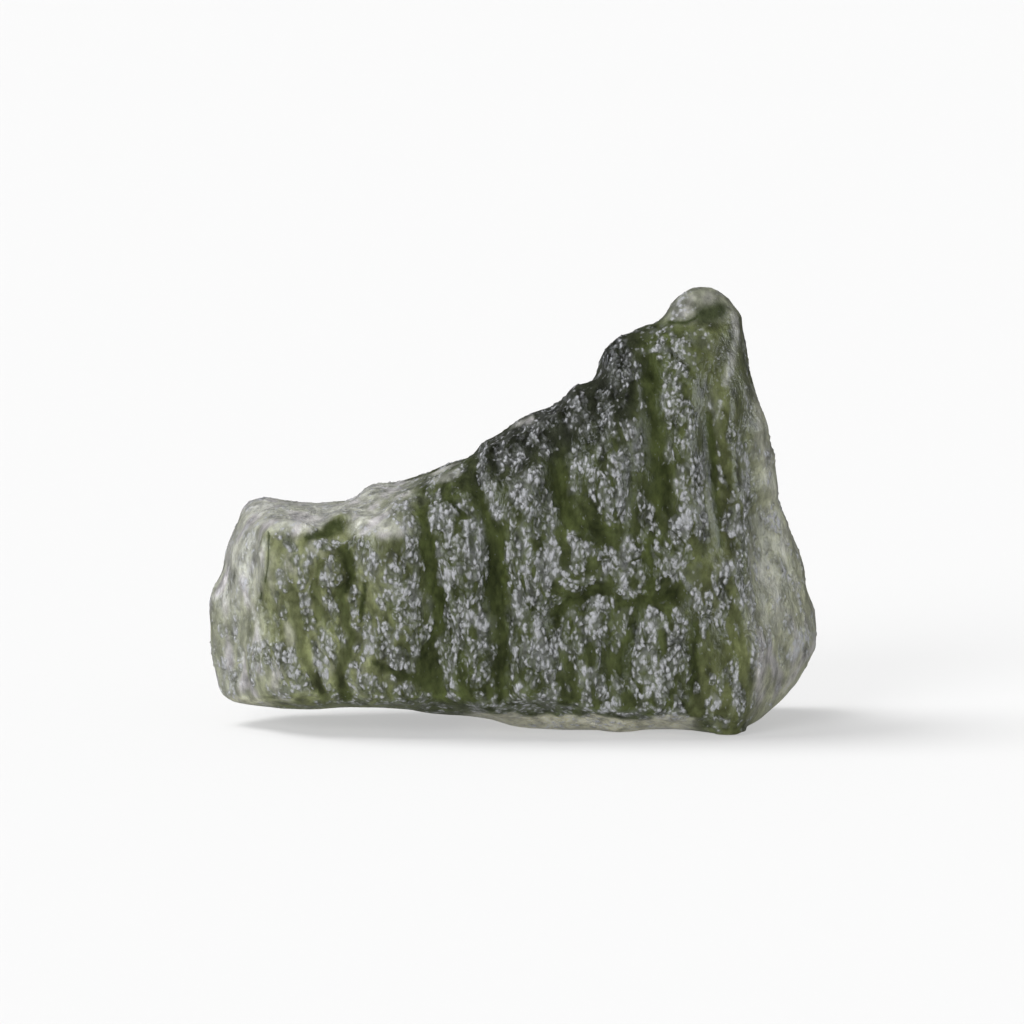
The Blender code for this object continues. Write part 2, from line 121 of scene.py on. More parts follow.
# Etched patches of the front face, where painted glints crowd, as (half width, points to the right and up),
# in mm.
PATCHES = [
    (0.16, [(-7.6, 6.7), (-7.3, 6.3)]),
    (0.14, [(-7.65, 5.5), (-7.5, 5.0)]),
    (0.20, [(-7.2, 6.0), (-7.0, 5.6), (-6.8, 5.3)]),
    (0.20, [(-7.1, 5.2), (-7.0, 4.6), (-6.85, 4.1)]),
    (0.15, [(-7.75, 4.7), (-7.5, 4.1)]),
    (0.18, [(-6.55, 6.8), (-6.3, 6.6), (-5.8, 6.5)]),
    (0.22, [(-6.5, 6.0), (-6.25, 5.5), (-6.0, 4.8), (-5.8, 4.0), (-5.6, 3.5)]),
    (0.18, [(-5.95, 6.0), (-5.7, 5.3)]),
    (0.34, [(-6.7, 3.8), (-6.4, 3.4), (-6.1, 2.9), (-6.1, 2.2), (-5.9, 1.6)]),
    (0.25, [(-7.7, 2.9), (-7.5, 2.4), (-7.3, 1.9)]),
    (0.20, [(-7.0, 2.1), (-6.7, 1.6)]),
    (0.24, [(-5.4, 5.0), (-5.25, 4.4), (-5.05, 4.0)]),
    (0.22, [(-5.1, 6.6), (-4.8, 6.2), (-4.4, 5.6), (-4.2, 5.2)]),
    (0.42, [(-3.8, 5.6), (-3.7, 4.8), (-3.4, 4.4), (-3.0, 3.9)]),
    (0.26, [(-3.7, 7.7), (-3.2, 7.0), (-3.4, 6.2)]),
    (0.30, [(-4.6, 3.8), (-4.3, 3.1)]),
    (0.32, [(-3.8, 3.4), (-3.4, 2.9), (-3.1, 2.4)]),
    (0.30, [(-5.0, 2.9), (-5.4, 2.2), (-5.3, 1.7)]),
    (0.26, [(-4.8, 1.8), (-4.3, 1.3), (-3.8, 1.6), (-3.1, 1.3)]),
    (0.30, [(-2.7, 8.2), (-2.4, 7.3), (-2.4, 6.4)]),
    (0.34, [(-1.8, 8.0), (-2.0, 7.0), (-2.0, 6.0), (-2.0, 5.0), (-1.8, 4.4)]),
    (0.30, [(-2.0, 4.2), (-1.9, 3.5), (-2.1, 2.6), (-2.0, 2.0)]),
    (0.34, [(-1.4, 7.1), (-1.2, 6.2), (-1.2, 5.2), (-1.1, 4.2), (-1.1, 3.3)]),
    (0.22, [(-1.0, 9.5), (-1.0, 8.8)]),
    (0.22, [(-0.8, 8.4), (-0.5, 7.6)]),
    (0.40, [(-0.1, 9.4), (0.3, 8.7), (0.6, 8.0), (0.7, 7.2)]),
    (0.26, [(0.9, 9.0), (1.1, 8.2), (1.3, 7.4)]),
    (0.26, [(0.3, 10.3), (0.8, 10.1), (1.3, 9.6)]),
    (0.26, [(0.9, 10.5), (1.6, 10.8), (2.2, 11.1)]),
    (0.20, [(-0.1, 6.4), (0.0, 5.7)]),
    (0.30, [(0.4, 6.4), (0.3, 5.6), (0.2, 5.0), (0.5, 4.4), (0.3, 3.5)]),
    (0.26, [(0.8, 6.2), (0.8, 5.0), (0.8, 4.0), (0.8, 3.2), (0.8, 2.4), (0.4, 1.7), (0.2, 1.3)]),
    (0.16, [(0.0, 3.0), (0.1, 2.5)]),
    (0.20, [(-1.3, 2.5), (-1.2, 2.0)]),
    (0.14, [(-0.9, 2.5), (-0.8, 2.1)]),
    (0.20, [(-1.2, 1.4), (-1.1, 1.0)]),
    (0.14, [(-0.6, 1.3), (-0.5, 1.1)]),
    (0.15, [(1.1, 6.8), (1.4, 6.3), (1.3, 5.8)]),
    (0.17, [(2.1, 6.8), (2.1, 6.2)]),
    (0.15, [(2.5, 6.6), (2.4, 5.9)]),
    (0.17, [(3.2, 6.0), (3.3, 5.5)]),
    (0.15, [(1.8, 5.4), (2.2, 5.1)]),
    (0.18, [(2.1, 9.2), (2.2, 8.5)]),
    (0.15, [(2.4, 10.8), (2.5, 10.1)]),
    (0.15, [(2.5, 9.5), (2.6, 8.9)]),
    (0.22, [(3.0, 11.3), (3.1, 10.6), (3.3, 10.0), (3.6, 9.5)]),
    (0.15, [(3.7, 10.6), (4.1, 10.0)]),
    (0.32, [(3.1, 8.9), (3.3, 8.3), (3.4, 7.6)]),
    (0.18, [(3.6, 8.8), (3.6, 8.1)]),
    (0.16, [(4.2, 9.4), (4.2, 9.1)]),
    (0.17, [(4.5, 7.7), (4.3, 6.8)]),
    (0.16, [(4.2, 6.0), (4.2, 5.6)]),
    (0.20, [(3.6, 5.1), (3.9, 4.8)]),
    (0.15, [(2.8, 4.8), (2.3, 4.4)]),
    (0.18, [(2.0, 4.1), (1.8, 3.7)]),
    (0.26, [(2.5, 4.0), (3.1, 4.0), (3.1, 3.4), (2.5, 3.6)]),
    (0.22, [(1.4, 3.4), (1.2, 3.0), (1.4, 2.4), (1.3, 1.8), (1.1, 1.4)]),
    (0.15, [(2.1, 2.7), (2.4, 2.3), (2.4, 1.9)]),
    (0.18, [(2.5, 1.4), (2.5, 1.1)]),
    (0.15, [(3.0, 2.0), (3.0, 1.5)]),
    (0.12, [(3.5, 1.3), (3.45, 0.9)]),
    (0.28, [(3.4, 13.0), (3.7, 12.5), (3.9, 12.0), (4.0, 11.3)]),
    (0.36, [(5.1, 13.0), (5.4, 12.5), (5.4, 12.1)]),
    (0.34, [(5.2, 12.0), (5.4, 11.2), (5.6, 10.8)]),
    (0.34, [(5.8, 10.4), (5.6, 9.6), (5.9, 9.0), (5.9, 8.3), (5.9, 7.6)]),
    (0.12, [(5.1, 10.5), (5.1, 10.3)]),
    (0.15, [(5.4, 7.4), (5.4, 7.1)]),
    (0.15, [(7.2, 10.4), (7.3, 9.8), (7.4, 9.4)]),
    (0.30, [(7.6, 8.2), (7.6, 7.6), (7.5, 7.0), (7.7, 6.2), (7.7, 5.4), (7.8, 4.7)]),
    (0.18, [(4.9, 6.6), (5.2, 6.2), (5.1, 5.7)]),
    (0.14, [(4.7, 5.6), (4.8, 5.2)]),
    (0.13, [(6.1, 5.0), (6.1, 4.5)]),
    (0.12, [(6.6, 4.8), (6.6, 4.4)]),
    (0.36, [(5.1, 4.3), (5.2, 3.8), (5.3, 3.2), (5.6, 2.8)]),
    (0.36, [(4.6, 4.1), (4.5, 3.5), (4.5, 2.8), (4.6, 2.2), (4.4, 1.8)]),
    (0.24, [(5.0, 3.0), (5.0, 2.0), (5.1, 1.2)]),
    (0.18, [(4.9, 0.9), (5.6, 0.8)]),
    (0.13, [(6.6, 1.2), (6.8, 1.25)]),
    (0.12, [(6.8, 0.7), (7.0, 0.5)]),
    (0.20, [(7.9, 4.2), (8.1, 3.4), (8.1, 2.6)]),
]

# The brightest painted glints, written like the patches.
BRIGHTEST_GLINTS = [
    (0.11, [(6.75, 1.40), (6.85, 1.20)]),
    (0.20, [(9.35, 2.4), (9.70, 3.0)]),
    (0.06, [(3.15, 1.25), (3.2, 0.95)]),
    (0.06, [(-1.2, 1.2), (-1.15, 0.95)]),
]

# Thin rims, painted pale as if light shone through them, written like the patches.
PALE_PLACES = [
    (0.12, [(7.35, 13.9), (7.50, 13.2), (7.35, 12.5), (7.10, 11.8)]),
    (0.10, [(-2.7, 8.55), (-1.8, 8.85)]),
    (0.12, [(-0.4, 10.15), (0.1, 10.4), (0.6, 10.6)]),
]

# Places painted with shade, written like the channels: a pit, the knob's hollow and crease, and a crack at
# the left.
SHADED_PLACES = [
    (0.05, 0.12, [(-6.8, 6.75), (-6.2, 6.85)]),
    (0.05, 0.22, [(-6.1, 6.93), (-5.75, 7.10)]),
    (-0.04, 0.27, [(6.40, 13.93), (6.90, 14.03)]),
    (0.02, 0.05, [(5.25, 13.70), (5.75, 13.72), (6.20, 13.88)]),
    (0.015, 0.03, [(-8.1, 6.9), (-8.1, 6.1), (-8.15, 5.2)]),
    (0.015, 0.03, [(-8.35, 4.8), (-8.4, 4.5)]),
]

# Relief of the skin. Sizes, heights, the margin round the CAD box and the pit's place are in mm.
CELL_SIZE = (0.16, 0.18, 0.27)
CELL_SEED = 3.0
CELL_HEIGHT = 0.06
CELL_BASE = 0.5
CELL_TILT = 0.30
RIPPLE_HEIGHT = 0.05
LEAN = 0.15
BOX_MARGIN = 0.1
PIT_CENTRE = (-6.0, 7.1)

# What turns a cell's seed into a number from 0 to 1, and that number into an angle.
CELL_KEY = Vector((12.9898, 78.233, 37.719))
CELL_SPREAD = 43758.5453
CELL_TURNS = 50.0

# How a stroke ends, in half widths: where its cut ends, and where its cover starts to fade and how far.
CUT_FADE = 1.7
COVER_START = 0.55
COVER_SPAN = 0.9

# Noise layers, as name: (size of the features in mm, seed, amount). Three sizes are those along X, Y and Z.
LAYERS = {
    "wander_broad": ((0.7, 0.7, 1.3), 5.0, 0.10),
    "wander_fine": ((0.22, 0.3, 0.4), 6.0, 0.10),
    "rise": (1.1, 8.0, 0.12),
    "breadth": ((0.5, 0.5, 0.8), 9.0, 0.9),
    "ragged": ((0.26, 0.28, 0.60), 11.0, 1.0),
    "spare": ((0.42, 0.42, 0.75), 13.0, 1.0),
    "vein": ((0.50, 0.50, 0.85), 15.0, 1.0),
    "bend_broad": (0.5, 21.0, 0.08),
    "bend_fine": (0.22, 23.0, 0.06),
    "ripple": ((0.55, 0.55, 1.3), 31.0, 1.0),
    "swell": ((1.3, 1.3, 1.7), 41.0, 0.08),
    "wave": ((3.0, 3.0, 0.9), 45.0, 0.14),
    "cluster": ((0.4, 0.4, 0.7), 51.0, 1.0),
    "stray_glint": ((0.5, 0.5, 0.9), 61.0, 1.0),
    "left_tip": (0.6, 71.0, 0.2),
    "left_edge": (0.6, 71.0, 1.0),
    "under": (0.5, 73.0, 0.2),
    "ledge": (0.9, 75.0, 0.9),
    "blotch": ((1.4, 1.4, 2.2), 51.0, 1.0),
    "streak": ((0.35, 0.35, 1.1), 81.0, 1.0),
    "mottle": ((0.24, 0.24, 0.40), 91.0, 0.5),
    "grain": ((0.12, 0.12, 0.18), 95.0, 0.6),
    "mauve": ((0.5, 0.5, 1.1), 97.0, 1.0),
}

# Fades, as name: (where it starts, where it ends). A fade goes from 0 to 1, or between the two levels
# that follow.
FADES = {
    # Over how far a normal points forward, back, up or down, from -1 to 1.
    "front": (0.02, 0.35),
    "back": (0.25, 0.7),
    "upward": (0.1, 0.5),
    "downward": (0.2, 0.5),
    "slope_shade_facing": (-0.25, 0.10),
    "brightest_glint_facing": (-0.05, 0.10),
    "rim_facing": (-0.05, 0.25),
    "pit_facing": (0.2, 0.6),
    "hidden_facing": (0.0, 2.0 / 3.0),
    # Painted light: how much lighter pale skin facing up and skin facing down are made.
    "lit_above": (0.3, 0.7, 0.0, 0.15),
    "lit_below": (0.1, 0.6, 1.0, 1.3),
    # Over places, in mm to the right or left, up or down.
    "calm_right": (5.6, 7.0, 0.0, 0.15),
    "calm_top": (6.0, 8.0, 0.0, 0.5),
    "slope_height": (8.0, 9.6),
    "slope_left": (-3.0, 0.0),
    "slope_right": (3.6, 4.8, 1.0, 0.0),
    "wave": (6.5, 8.0),
    "left_tip": (8.0, 8.6),
    "tip_inward": (-5.0, -3.0, 0.0, 0.8),
    "tip_height": (3.0, 6.0, 0.35, 0.85),
    "left_edge": (7.3, 9.0, 0.0, 0.45),
    "ledge_side": (2.6, 4.8),
    "ledge_height": (6.6, 7.2),
    "near_pit": (-0.9, -0.4),
    "knob": (13.5, 14.0, 0.0, 0.42),
    "under_left": (-1.8, -0.8),
    "under_right": (-6.4, -5.4),
    "under_height": (-0.75, -0.6),
    "hidden_height": (-2.2, -1.2),
    "left_tint": (2.0, 6.0),
    "right_tint": (5.0, 7.0),
    "channel_tint": (5.0, 7.0, 0.9, 0.5),
    "flank_tint": (7.7, 8.5),
    "below": (-1.2, -1.0),
    "mauve_side": (6.0, 7.0, 0.0, 0.7),
    "mauve_height": (3.0, 4.0),
    # Over noise, and over other shares.
    "drawn_patch": (-0.40, -0.15),
    "spare_patch": (-0.05, 0.25, 0.0, 0.8),
    "side_patch": (-0.02, 0.12, 0.0, 0.8),
    "frost_and_glow_patch": (-0.15, 0.2, 0.0, 0.45),
    "beside_vein": (0.02, 0.10, 0.3, 1.0),
    "etched": (0.10, 0.75),
    "soft": (-0.1, 0.8),
    "dome": (0.0, 0.5),
    "cluster": (-0.3, 0.3, 0.6, 1.0),
    "stray_glint": (-0.05, 0.4, 0.06, 0.36),
    "pale": (0.2, 0.5),
    "mauve": (0.0, 0.4),
}

# Straight changes with another share, as name: (value at 0, value at 1).
SPANS = {
    "patch_breadth": (0.65, 1.20),
    "cells_on_flat": (0.5, 1.0),
    "cell_heights": (0.6, 1.4),
    "ripple": (0.5, -1.5),
    "ripple_on_etched": (0.25, 1.0),
    "ripple_on_flat": (0.9, 1.0),
    "swell_on_flat": (1.2, 1.0),
    "glint_on_dome": (0.35, 1.0),
    "glint_of_cell": (0.8, 1.0),
    "glow_on_blotch": (0.85, 1.15),
    "streak_on_pale": (0.9, 0.6),
}

# Other shares of the skin. A channel is cut to a share of its depth, as the CAD solid has grooves too.
CHANNEL_BREADTH = 0.85
CHANNEL_CUT = 0.25
DARK_WANDER = 0.5
SLOPE_GRADE = 0.42
RIM_GLOW = 0.6
HIDDEN_CALM = 0.9
GLINT_SHARE = 1.6
GLINTS_OFF_SLOPE = 0.32
GLINTS_OFF_CLEAR = 0.4
BLOTCH_DEEP = 0.35
BLOTCH_FLANK = 0.3
ETCHED_DEEP = 0.7
PAINTED_SHADE_SHARE = 0.9
LEAST_SHADE = 0.3

# Colours of the skin, which tint what shines through it.
DEEP = (0.080, 0.100, 0.030)
BODY = (0.095, 0.115, 0.040)
LEFT = (0.31, 0.335, 0.16)
RIGHT = (0.175, 0.195, 0.08)
# Painted light: the right flank painted pale with light shining through its thin glass.
FLANK_GLOW = (0.62, 0.63, 0.46)
# Painted glints: the white that the flecks on the dots are painted.
FLECK_GLINT = (0.90, 0.91, 0.97)
# Painted light: frost white where light shines through the thin places, and the underside painted pale with
# light from the floor.
FROST_AND_GLOW = (0.80, 0.80, 0.73)
UNDERSIDE_GLOW = (0.80, 0.78, 0.60)
MAUVE = (0.78, 0.75, 0.76)
# Painted shade along the top of the front face, which faces away from the light.
SLOPE_SHADE = (0.04, 0.045, 0.028)
# Painted shade in the pit, the knob's hollow and crease, and the crack.
PIT_SHADE = (0.055, 0.075, 0.020)

# The glass.
GLASS_IOR = 1.49
GLASS_SHARE = 0.58
GLASS_ROUGHNESS = 0.28
ABSORB_COLOR = (0.225, 0.275, 0.075, 1.0)
ABSORB_DENSITY = 420.0

# The dots, each painted with a white glint and bumped: how many to a metre, how crooked they are and where
# they fade out. Wrinkles darken and lighten the skin between them at random.
DOT_SCALE = (5700.0, 5700.0, 3500.0)
DOT_HEIGHT = 0.06 * MM
WOBBLE = {"Scale": 1.3, "Detail": 1.0}
WOBBLE_SHIFT = (0.9, 0.9, 0.9)
DOT_REACH = (0.05, 0.80, 1.0, 0.0)
DOT_PEAK = (0.95, 1.60, 0.0, 1.0)
GLINT_HAZE = (0.25, 1.0, 0.0, 0.25)
WRINKLE = {"Scale": 0.9, "Detail": 3.0, "Roughness": 0.65}
WRINKLE_SHADE = (0.3, 0.7, 0.66, 1.34)

# The floor.
WHITE = (1.0, 1.0, 1.0, 1.0)
FLOOR_HALF = 3.0
FLOOR_COLOR = (0.25, 0.25, 0.25, 1.0)
FLOOR_GLOW = 0.45

# How bright the world is as it lights, as it is seen, and as it is mirrored from the front to the back.
WORLD_LIGHT = 0.5
WORLD_SEEN = 0.95
WORLD_MIRRORED = (-0.2, 0.6, 0.02, 0.09)

# Suns, as (name, strength, where they shine from).
SUNS = [
    ("key", 1.2, (-0.22, 0.12, 0.6)),
    ("fill", 2.2, (-0.45, -0.75, 0.4)),
    ("shadow_sun", 3.5, (-0.40, 0.05, 0.6)),
]
SUN_ANGLE = math.radians(28.0)

# Softboxes at the sides, which give no diffuse light, as (name, degrees round from the front, degrees up,
# watts).
SOFTBOXES = [
    ("softbox_left", -85.0, 8.0, 1.3),
    ("softbox_right", 82.0, 10.0, 0.9),
]
SOFTBOX_SIZE = 0.24
SOFTBOX_AWAY = 0.40
SOFTBOX_COLOR = (0.88, 0.91, 1.0)
SOFTBOX_AIM = (0.0, 0.0, 6.0 * MM)


def smooth(share):
    """0 to 1 with an easy start and end, for a number or an array."""
    share = np.clip(share, 0.0, 1.0)
    return share * share * (3.0 - 2.0 * share)


def fade(name, values):
    """Eases from one level to another, 0 and 1 unless they are given, as the values cross a range."""
    start, end, low, high = (*FADES[name], 0.0, 1.0)[:4]
    return low + (high - low) * smooth((values - start) / (end - start))


def span(name, share):
    """Goes straight from one value to another as the share goes from 0 to 1."""
    low, high = SPANS[name]
    return low + (high - low) * share


def mixed(base, other, share):
    return base + (np.asarray(other) - base) * share[:, None]


def add(name, data, place=(0.0, 0.0, 0.0)):
    obj = bpy.data.objects.new(name, data)
    bpy.context.scene.collection.objects.link(obj)
    obj.location = place
    return obj


def aim(obj, target):
    obj.rotation_euler = (Vector(target) - obj.location).to_track_quat("-Z", "Y").to_euler()


def ease(obj, steps, group=""):
    """Adds a modifier that smooths the object, or one vertex group of it."""
    modifier = obj.modifiers.new("ease", "SMOOTH")
    modifier.factor = EASE_FACTOR
    modifier.iterations = steps
    modifier.vertex_group = group


def applied(obj):
    """Makes the mesh that the object's modifiers give its own, and drops them."""
    graph = bpy.context.evaluated_depsgraph_get()
    mesh = bpy.data.meshes.new_from_object(obj.evaluated_get(graph))
    obj.modifiers.clear()
    obj.data = mesh


def fine_copy(source):
    """A smooth, even and dense copy of the CAD solid, smoothest in front."""
    piece = add("moldavite_skin", source.data.copy())
    weld = piece.modifiers.new("weld", "WELD")
    weld.merge_threshold = WELD_REACH
    remesh = piece.modifiers.new("remesh", "REMESH")
    remesh.mode = "VOXEL"
    remesh.voxel_size = VOXEL * 1
    ease(piece, SMOOTH_STEPS // (1))
    applied(piece)
    facing = np.flatnonzero(broad_normals(piece)[:, 1] < FRONT_NORMAL)
    piece.vertex_groups.new(name="front").add(facing.tolist(), 1.0, "REPLACE")
    ease(piece, FRONT_STEPS, "front")
    applied(piece)
    return piece


def broad_normals(piece):
    """The normals of the piece's broad shape, without its grooves and pits."""
    broad = add("broad_shape", piece.data.copy())
    ease(broad, BROAD_STEPS)
    applied(broad)
    normals = points_and_normals(broad.data)[1]
    bpy.data.objects.remove(broad)
    return normals


def points_and_normals(mesh):
    """The vertices in mm, and their normals."""
    points = np.empty(len(mesh.vertices) * 3)
    mesh.vertices.foreach_get("co", points)
    normals = np.empty(len(mesh.vertices) * 3, np.float32)
    mesh.vertex_normals.foreach_get("vector", normals)
    return points.reshape(-1, 3) / MM, normals.reshape(-1, 3).astype(float)


def noise_at(layer, points):
    """Perlin noise, about -1 to 1 times the layer's amount."""
    size, seed, amount = LAYERS[layer]
    places = points / np.asarray(size) + seed
    return amount * np.array([noise.noise(Vector(place)) for place in places])


def cells_at(points):
    """Scattered cells: how deep inside its cell each point is, a number and a slope for each cell."""
    size = np.asarray(CELL_SIZE)
    places = points / size + CELL_SEED
    inside, number, slope = np.empty((3, len(places)))
    for index, place in enumerate(places):
        away, seeds = noise.voronoi(Vector(place))
        inside[index] = away[1] - away[0]
        number[index] = math.sin(seeds[0].dot(CELL_KEY)) * CELL_SPREAD % 1.0
        turn = number[index] * CELL_TURNS
        offset = (place - np.array(seeds[0])) * size
        slope[index] = offset[0] * math.cos(turn) + offset[2] * math.sin(turn)
    return inside, number, slope


def distance_to(x, z, points):
    nearest = np.full(len(x), np.inf)
    for (ax, az), (bx, bz) in zip(points, points[1:]):
        dx, dz = bx - ax, bz - az
        share = np.clip(((x - ax) * dx + (z - az) * dz) / (dx * dx + dz * dz), 0.0, 1.0)
        nearest = np.minimum(nearest, np.hypot(x - ax - dx * share, z - az - dz * share))
    return nearest


def carved(x, z, strokes, breadth=1.0):
    """How deep the strokes cut, and how much of each point they cover, from 0 to 1."""
    depth = np.zeros(len(x))
    cover = np.zeros(len(x))
    for deep, half_width, line in strokes:
        away = distance_to(x, z, line) / (half_width * breadth)
        cut = deep * (1.0 - smooth(away / CUT_FADE))
        depth = np.where(np.abs(cut) > np.abs(depth), cut, depth)
        cover = np.maximum(cover, 1.0 - smooth((away - COVER_START) / COVER_SPAN))
    return depth, cover


def covered(x, z, strokes, breadth=1.0):
    """How much of each point strokes without depth cover, from 0 to 1."""
    return carved(x, z, [(0.0, *stroke) for stroke in strokes], breadth)[1]


def leaning(points):
    """The points moved so that what stands upright in them leans to the left in the stone."""
    leant = points.copy()
    leant[:, 0] += points[:, 2] * LEAN
    return leant


def skin_zones(points, normals):
    """Shares from 0 to 1 of what the skin is like at each point, and how deep it is cut in mm."""
    x, z = points[:, 0], points[:, 2]
    forward = -normals[:, 1]
    front = fade("front", forward)
    leant = leaning(points)
    wander = noise_at("wander_broad", points) + noise_at("wander_fine", points)
    breadth = 1.0 + noise_at("breadth", points)
    route = (x + wander, z + noise_at("rise", points))
    depth, clear = carved(*route, CHANNELS, CHANNEL_BREADTH * breadth)
    pit, dark = carved(x + DARK_WANDER * wander, z, SHADED_PLACES)
    patch = covered(*route, PATCHES, span("patch_breadth", breadth))
    brightest_glint = covered(*route, BRIGHTEST_GLINTS)
    ragged = noise_at("ragged", leant)
    calm = fade("calm_right", x) + fade("calm_top", z - SLOPE_GRADE * x)
    spare = fade("spare_patch", noise_at("spare", leant)) * (1.0 - calm)
    etched = np.maximum(patch * fade("drawn_patch", ragged), spare) * front
    etched += fade("side_patch", ragged) * (1.0 - front)
    # Frosted thin places are etched, and in colours() painted pale with light shining through them.
    frost_and_glow = frosted_and_glowing(points, normals)
    etched = np.maximum(etched, frost_and_glow * fade("frost_and_glow_patch", ragged))
    etched *= (1.0 - clear * front) * (1.0 - dark * front)
    etched *= fade("beside_vein", np.abs(noise_at("vein", leant)))
    return {
        "front": front,
        "back": fade("back", -forward),
        "cut": (CHANNEL_CUT * depth * (1.0 - dark) + pit) * front,
        "clear": clear * front,
        # The share of painted shade in the pit, hollow, crease and crack.
        "dark": dark * front,
        "frost_and_glow": frost_and_glow,
        # The top slope's share of painted shade.
        "slope": slope_shade_zone(x, z) * fade("slope_shade_facing", forward),
        "brightest_glint": brightest_glint * fade("brightest_glint_facing", forward),
        "etched": fade("etched", etched),
        "soft": fade("soft", etched),
    }


def slope_shade_zone(x, z):
    """The zone along the top of the front face that is painted with shade."""
    return fade("slope_height", z - SLOPE_GRADE * x) * fade("slope_left", x) * fade("slope_right", x)


def frosted_and_glowing(points, normals):
    """How far the thin places are frosted and painted pale with light shining through: both ends, the
    ledge, the knob and the underside.
    """
    x, z = points[:, 0], points[:, 2]
    forward, up = -normals[:, 1], normals[:, 2]
    inward = fade("tip_inward", -z)
    tip = fade("left_tip", -x - inward + noise_at("left_tip", points)) * fade("tip_height", z)
    edge = fade("left_edge", noise_at("left_edge", points) - x)
    ledge = fade("upward", up) * fade("ledge_side", noise_at("ledge", points) - x) * fade("ledge_height", z)
    to_pit = np.hypot(x - PIT_CENTRE[0], z - PIT_CENTRE[1])
    ledge *= 1.0 - fade("near_pit", -to_pit) * fade("pit_facing", forward)
    under = fade("downward", -up) * fade("under_left", x) * fade("under_right", -x)
    under *= fade("under_height", -z - noise_at("under", points))
    pale = RIM_GLOW * covered(x, z, PALE_PLACES) * fade("rim_facing", forward)
    return np.max((tip, edge, ledge, fade("knob", z), under, pale), axis=0)


def relief(points, zones):
    """How far each point of the skin moves out, in mm, and how much of it is painted as a white glint."""
    leant = leaning(points) + noise_at("bend_broad", points)[:, None]
    bent = leant + noise_at("bend_fine", points)[:, None]
    inside, number, slope = cells_at(bent)
    dome = fade("dome", inside)
    ripple = span("ripple", np.abs(noise_at("ripple", leant)))
    flat = zones["front"] + zones["back"]
    etched = zones["etched"]
    cells = CELL_HEIGHT * (dome * span("cell_heights", number) - CELL_BASE) + CELL_TILT * slope * dome
    height = etched * span("cells_on_flat", flat) * cells
    height += RIPPLE_HEIGHT * ripple * span("ripple_on_etched", etched) * span("ripple_on_flat", flat)
    height += noise_at("swell", points) * span("swell_on_flat", flat)
    height += noise_at("wave", points) * fade("wave", points[:, 0])
    cluster = fade("cluster", noise_at("cluster", leant))
    # Painted glints: how white each point is painted, on etched cell tops, stray dots and the brightest
    # glints.
    painted_glint = GLINT_SHARE * zones["soft"] * cluster
    painted_glint *= span("glint_on_dome", dome) * span("glint_of_cell", number)
    painted_glint += fade("stray_glint", noise_at("stray_glint", points))
    painted_glint *= 1.0 - GLINTS_OFF_SLOPE * zones["slope"] - GLINTS_OFF_CLEAR * zones["clear"]
    painted_glint += zones["brightest_glint"]
    return height - zones["cut"], np.clip(painted_glint * (1.0 - zones["dark"]), 0.0, 1.0)


def colours(points, normals, zones):
    """The tint of the skin, from deep green in the channels to frost painted pale with light at the thin
    rims, with painted shade and light.
    """
    x, z, up = points[:, 0], points[:, 2], normals[:, 2]
    blotch = noise_at("blotch", points)
    tint = np.tile(np.array(BODY), (len(points), 1))
    tint = mixed(tint, LEFT, fade("left_tint", -x))
    tint = mixed(tint, RIGHT, fade("right_tint", x))
    channel = zones["clear"] * fade("channel_tint", -x)
    tint = mixed(tint, DEEP, np.clip(channel + BLOTCH_DEEP * blotch, 0.0, 1.0))
    tint = mixed(tint, DEEP, ETCHED_DEEP * zones["etched"] * zones["front"])
    # Painted shade along the top slope.
    tint = mixed(tint, SLOPE_SHADE, zones["slope"])
    # Painted light: the right flank made pale with light shining through it.
    tint = mixed(tint, FLANK_GLOW, fade("flank_tint", x + BLOTCH_FLANK * blotch))
    # Painted light: the thin places made pale with light shining through them.
    tint = mixed(tint, FROST_AND_GLOW, zones["frost_and_glow"] * span("glow_on_blotch", blotch))
    pale = fade("pale", tint[:, 0])
    below = fade("downward", -up) * fade("below", -z)
    # Painted light: the underside made pale with light from the floor below.
    tint = mixed(tint, UNDERSIDE_GLOW, below * zones["frost_and_glow"])
    mauve = pale * fade("mauve", noise_at("mauve", points)) * (1.0 - below)
    tint = mixed(tint, MAUVE, mauve * (1.0 - fade("mauve_side", x) * fade("mauve_height", z)))
    shade = 1.0 + span("streak_on_pale", pale) * noise_at("streak", leaning(points))
    shade += noise_at("mottle", points) * pale + noise_at("grain", points) * (1.0 - pale)
    tint *= np.maximum(shade, LEAST_SHADE)[:, None]
    # Painted light: skin facing down made up to 1.3 times lighter, and pale skin facing up up to 1.15
    # times.
    tint *= fade("lit_below", -up)[:, None]
    tint *= 1.0 + (fade("lit_above", up) * pale)[:, None]
    # Painted shade in the pit, the knob's hollow and crease, and the crack.
    return mixed(tint, PIT_SHADE, PAINTED_SHADE_SHARE * zones["dark"])


def roughen(piece):
    """Moves the skin's points by its relief, and stores on them what the material reads."""
    mesh = piece.data
    points, normals = points_and_normals(mesh)
    zones = skin_zones(points, normals)
    height, painted_glint = relief(points, zones)
    hidden = fade("hidden_facing", -normals[:, 2]) * fade("hidden_height", -points[:, 2])
    height *= 1.0 - HIDDEN_CALM * hidden
    moved = points + normals * height[:, None]
    low, high = (np.array(corner) / MM for corner in CAD_BOX)
    moved = np.clip(moved, low - (BOX_MARGIN, BOX_MARGIN, 0.0), high + BOX_MARGIN)
    mesh.vertices.foreach_set("co", (moved * MM).ravel())
    store(mesh, "etched", "FLOAT", "value", zones["etched"])
    store(mesh, "painted_glint", "FLOAT", "value", painted_glint)
    tint = colours(points, normals, zones)
    store(mesh, "tint", "FLOAT_COLOR", "color", np.column_stack((tint, np.ones(len(tint)))))
    mesh.update()


def store(mesh, name, kind, field, values):
    mesh.attributes.new(name, kind, "POINT").data.foreach_set(field, np.ravel(values))


